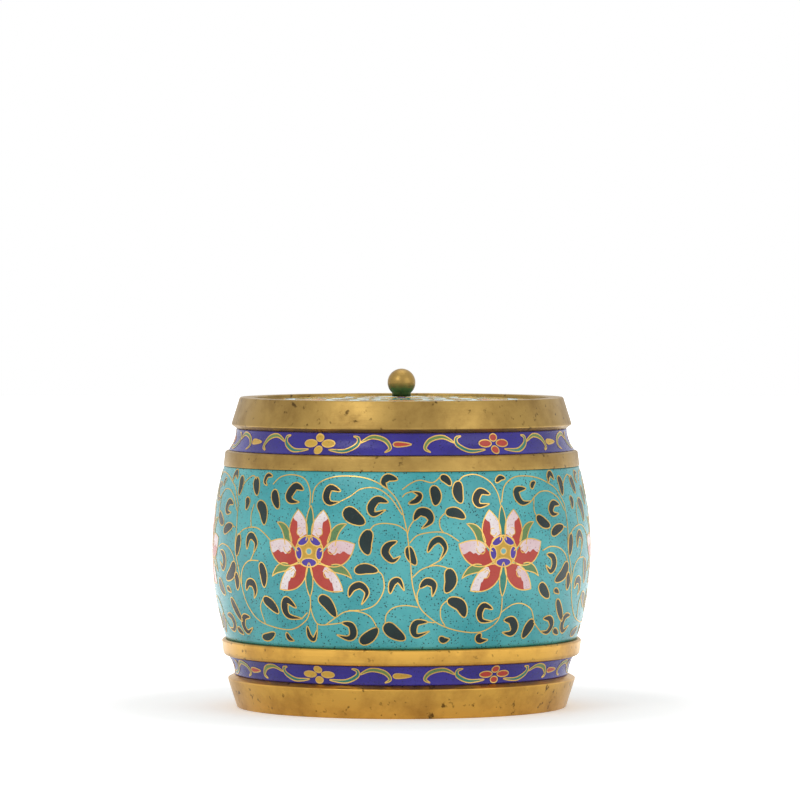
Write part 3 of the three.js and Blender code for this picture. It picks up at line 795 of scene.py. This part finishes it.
# Geometry nodes that lay a drawing on the jar

def wrap_tree(name, on_dome=False):
    """Bends a flat drawing round the axis, or lays it on the lid, and repeats it round the axis."""
    tree = bpy.data.node_groups.new(name, "GeometryNodeTree")
    sockets = {}
    tree.interface.new_socket("Geometry", in_out="INPUT", socket_type="NodeSocketGeometry")
    for label, kind in (("Radius", "Float"), ("Curve", "Float"), ("Middle", "Float"), ("Sign", "Float"),
                        ("Arc", "Float"), ("Repeats", "Int"), ("Material", "Material")):
        sockets[label] = tree.interface.new_socket(
            label, in_out="INPUT", socket_type="NodeSocket" + kind).identifier
    tree.interface.new_socket("Geometry", in_out="OUTPUT", socket_type="NodeSocketGeometry")
    graph = Graph(tree)
    source = graph.node("NodeGroupInput").outputs
    position = graph.node("GeometryNodeInputPosition").outputs[0]
    place = graph.node("ShaderNodeSeparateXYZ", {0: position}).outputs
    if on_dome:
        square = graph.math("ADD", graph.math("MULTIPLY", place[0], place[0]),
                            graph.math("MULTIPLY", place[1], place[1]))
        share = graph.math("DIVIDE", square, graph.math("MULTIPLY", source["Radius"], source["Radius"]))
        drop = graph.math("MULTIPLY", share, source["Curve"])
        height = graph.math("ADD", graph.math("SUBTRACT", source["Middle"], drop), place[2])
        spot = graph.node("ShaderNodeCombineXYZ", {0: place[0], 1: place[1], 2: height}).outputs[0]
    else:
        rise = graph.math("SUBTRACT", place[1], source["Middle"])
        squared = graph.math("MULTIPLY", source["Curve"], source["Curve"])
        root = graph.math("SQRT", graph.math("SUBTRACT", squared,
                                             graph.math("MULTIPLY", rise, rise)))
        swell = graph.math("MULTIPLY", source["Sign"], graph.math("SUBTRACT", source["Curve"], root))
        radius = graph.math("ADD", graph.math("ADD", source["Radius"], swell), place[2])
        turn = graph.math("DIVIDE", place[0], source["Arc"])
        across = graph.math("MULTIPLY", radius, graph.math("SINE", turn))
        away = graph.math("MULTIPLY", graph.math("MULTIPLY", radius, graph.math("COSINE", turn)), -1.0)
        spot = graph.node("ShaderNodeCombineXYZ", {0: across, 1: away, 2: place[1]}).outputs[0]
    metres = graph.node("ShaderNodeVectorMath", {0: spot, "Scale": MM}, operation="SCALE").outputs[0]
    moved = {"Geometry": source["Geometry"], "Position": metres}
    bent = graph.node("GeometryNodeSetPosition", moved).outputs[0]
    line = {"Count": source["Repeats"], "Offset": (0.0, 0.0, 0.0)}
    points = graph.node("GeometryNodeMeshLine", line).outputs[0]
    step = graph.math("DIVIDE", 2 * math.pi, source["Repeats"])
    angle = graph.math("MULTIPLY", graph.node("GeometryNodeInputIndex").outputs[0], step)
    spin = graph.node("ShaderNodeCombineXYZ", {2: angle}).outputs[0]
    copies = graph.node("GeometryNodeInstanceOnPoints",
                        {"Points": points, "Instance": bent, "Rotation": spin})
    real = graph.node("GeometryNodeRealizeInstances", {0: copies.outputs[0]}).outputs[0]
    painted = {"Geometry": real, "Material": source["Material"]}
    coloured = graph.node("GeometryNodeSetMaterial", painted).outputs[0]
    graph.node("NodeGroupOutput", {0: coloured})
    return tree, sockets


WRAP = wrap_tree("WrapRoundJar")
LAY = wrap_tree("LayOnLid", on_dome=True)


def lay_out(prefix, drawing, tree_and_sockets, body, values):
    """Turns each colour of a drawing into one piece on the jar."""
    tree, sockets = tree_and_sockets
    for look, (vertices, faces) in drawing.parts.items():
        piece = mesh_object(f"{prefix}_{look}", vertices, faces, smooth=False)
        modifier = piece.modifiers.new("Wrap", "NODES")
        modifier.node_group = tree
        for label, value in {**values, "Material": LOOKS[look]}.items():
            modifier[sockets[label]] = value
        bpy.context.view_layer.update()
        ready = piece.evaluated_get(bpy.context.evaluated_depsgraph_get())
        mesh = bpy.data.meshes.new_from_object(ready)
        piece.modifiers.clear()
        piece.data = mesh
        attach(piece, body)


lay_out("belly", belly_drawing(), WRAP, "jar", {
    "Radius": BELLY_RADIUS, "Curve": BELLY_CURVE, "Middle": BELLY_MIDDLE, "Sign": -1.0, "Arc": ARC,
    "Repeats": REPEATS})
lay_out("neck", band_drawing(NECK_BAND, ((-28.6, "yellow", "red"), (32.6, "red", "yellow"))), WRAP, "jar", {
    "Radius": NECK_WAIST, "Curve": BAND_CURVE_NECK, "Middle": NECK_BAND[1], "Sign": 1.0, "Arc": ARC,
    "Repeats": REPEATS})
lay_out("lower", band_drawing(LOWER_BAND, ((-28.6, "yellow", "yellow"), (32.6, "red", "red"))), WRAP, "jar", {
    "Radius": LOWER_WAIST, "Curve": BAND_CURVE_LOW, "Middle": LOWER_BAND[0], "Sign": 1.0, "Arc": ARC,
    "Repeats": REPEATS})
lay_out("lid", lid_drawing(), LAY, "lid", {
    "Radius": LID_RADIUS, "Curve": LID_RISE, "Middle": LID_TOP, "Sign": 1.0, "Arc": ARC, "Repeats": 6})


# Studio

FLOOR_FADE = (0.09, 0.24)
FLOOR_GLOW = (0.24, 1.0)
FLOOR_REACH = 4.0
FLOOR_TONE = (0.93, 0.93, 0.93, 1)
WORLD_LIGHT = 0.6
LAMP_POWER = 0.36
LAMP_AIM = (0, 0, 0.05)
LAMPS = (  # name, place, size, watts before LAMP_POWER
    ("key", (-0.7, -1.0, 0.9), 0.6, 9.0),
    ("fill", (0.9, -0.8, 0.5), 0.7, 5.0),
    ("top", (0.0, 0.2, 1.2), 0.8, 6.0),
)
CAMERA_PLACE = (-0.0005, -1.8645, 0.1498)
CAMERA_TILT = 88.504  # degrees from straight down
CAMERA_LENS = 254.25
CAMERA_SENSOR = 36.0


def studio():
    scene = bpy.context.scene
    far = FLOOR_REACH
    corners = [(-far, -far, 0), (far, -far, 0), (far, far, 0), (-far, far, 0)]
    floor = mesh_object("floor", corners, [(0, 1, 2, 3)])
    material, graph, surface = start_material("pale_floor")
    coords = graph.node("ShaderNodeTexCoord").outputs["Object"]
    away = graph.node("ShaderNodeVectorMath", {0: coords}, operation="LENGTH").outputs["Value"]
    glow = graph.ramp(away, FLOOR_FADE[0], FLOOR_FADE[1], FLOOR_GLOW[0], FLOOR_GLOW[1])
    path = graph.node("ShaderNodeLightPath").outputs
    shown = graph.math("MAXIMUM", path["Is Camera Ray"], path["Is Glossy Ray"])
    shown = graph.math("MAXIMUM", shown, path["Is Transmission Ray"])
    graph.tree.links.new(graph.math("MULTIPLY", shown, glow), surface.inputs["Emission Strength"])
    surface.inputs["Emission Color"].default_value = (1, 1, 1, 1)
    surface.inputs["Base Color"].default_value = FLOOR_TONE
    surface.inputs["Roughness"].default_value = 0.7
    surface.inputs["Specular IOR Level"].default_value = 0.1
    floor.data.materials.append(material)

    world = bpy.data.worlds.new("studio")
    scene.world = world
    world.use_nodes = True
    graph = Graph(world.node_tree)
    path = graph.node("ShaderNodeLightPath").outputs
    seen = graph.math("MAXIMUM", path["Is Camera Ray"], path["Is Glossy Ray"])
    seen = graph.math("MAXIMUM", seen, path["Is Transmission Ray"])
    strength = graph.math("MAXIMUM", seen, WORLD_LIGHT)
    background = world.node_tree.nodes["Background"]
    background.inputs["Color"].default_value = (1, 1, 1, 1)
    world.node_tree.links.new(strength, background.inputs["Strength"])

    for label, place, size, power in LAMPS:
        lamp = bpy.data.lights.new(label, "AREA")
        lamp.size, lamp.energy = size, power * LAMP_POWER
        holder = bpy.data.objects.new(label, lamp)
        holder.location = place
        holder.rotation_euler = (Vector(LAMP_AIM) - Vector(place)).to_track_quat("-Z", "Y").to_euler()
        scene.collection.objects.link(holder)

    camera = bpy.data.cameras.new("photo_view")
    camera.lens, camera.sensor_width = CAMERA_LENS, CAMERA_SENSOR
    camera.clip_end = 20.0
    holder = bpy.data.objects.new("photo_view", camera)
    holder.location = CAMERA_PLACE
    holder.rotation_euler = (math.radians(CAMERA_TILT), 0.0, 0.0)
    scene.collection.objects.link(holder)
    scene.camera = holder
    scene.view_settings.view_transform = "Standard"


studio()
